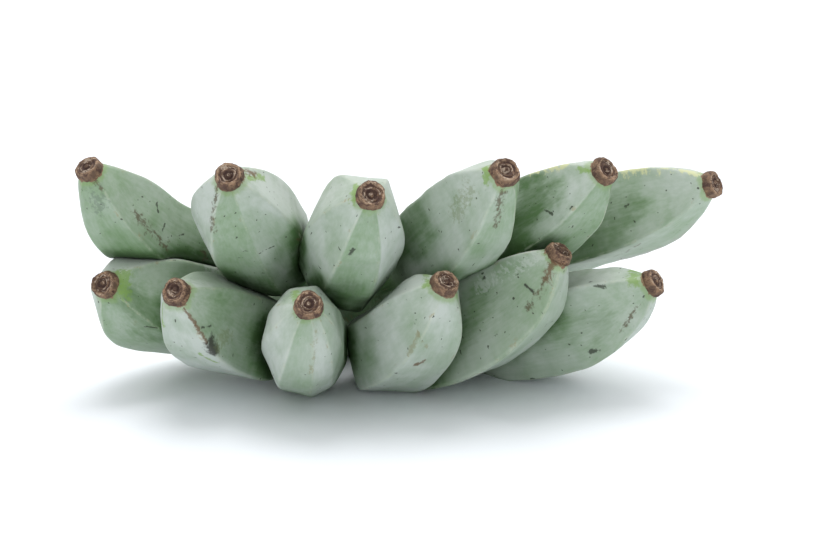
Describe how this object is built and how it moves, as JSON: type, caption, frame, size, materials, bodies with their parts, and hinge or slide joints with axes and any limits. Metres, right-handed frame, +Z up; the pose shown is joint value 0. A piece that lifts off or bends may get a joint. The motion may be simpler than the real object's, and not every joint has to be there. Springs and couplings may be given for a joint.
{
  "type": "plantain",
  "caption": "Hand of green cooking plantains: thick, angular fingers fanned in stacked rows from one cut crown, each with a dry brown flower end.",
  "frame": {"origin": "centre of the bounding box in plan, at the surface that the hand lies on", "axes": "+Z up, +X along the hand's width, -Y towards the flower ends; the crown is at +Y"},
  "size_m": [0.3191, 0.1844, 0.127],
  "materials": {
    "skin": "waxy green peel with a pale grey bloom",
    "crown": "green stem tissue with a pale, browning cut face",
    "flower_end": "dry, fibrous and rough"
  },
  "bodies": {
    "root": {"crown": "crown", "finger_lower_1": "skin", "flower_end_lower_1": "flower_end", "finger_lower_2": "skin", "flower_end_lower_2": "flower_end", "finger_lower_3": "skin", "flower_end_lower_3": "flower_end", "finger_lower_4": "skin", "flower_end_lower_4": "flower_end", "finger_lower_5": "skin", "flower_end_lower_5": "flower_end", "finger_lower_6": "skin", "flower_end_lower_6": "flower_end", "finger_upper_1": "skin", "flower_end_upper_1": "flower_end", "finger_upper_2": "skin", "flower_end_upper_2": "flower_end", "finger_upper_3": "skin", "flower_end_upper_3": "flower_end", "finger_upper_4": "skin", "flower_end_upper_4": "flower_end", "finger_upper_5": "skin", "flower_end_upper_5": "flower_end", "finger_upper_6": "skin", "flower_end_upper_6": "flower_end"}
  },
  "joints": []
}
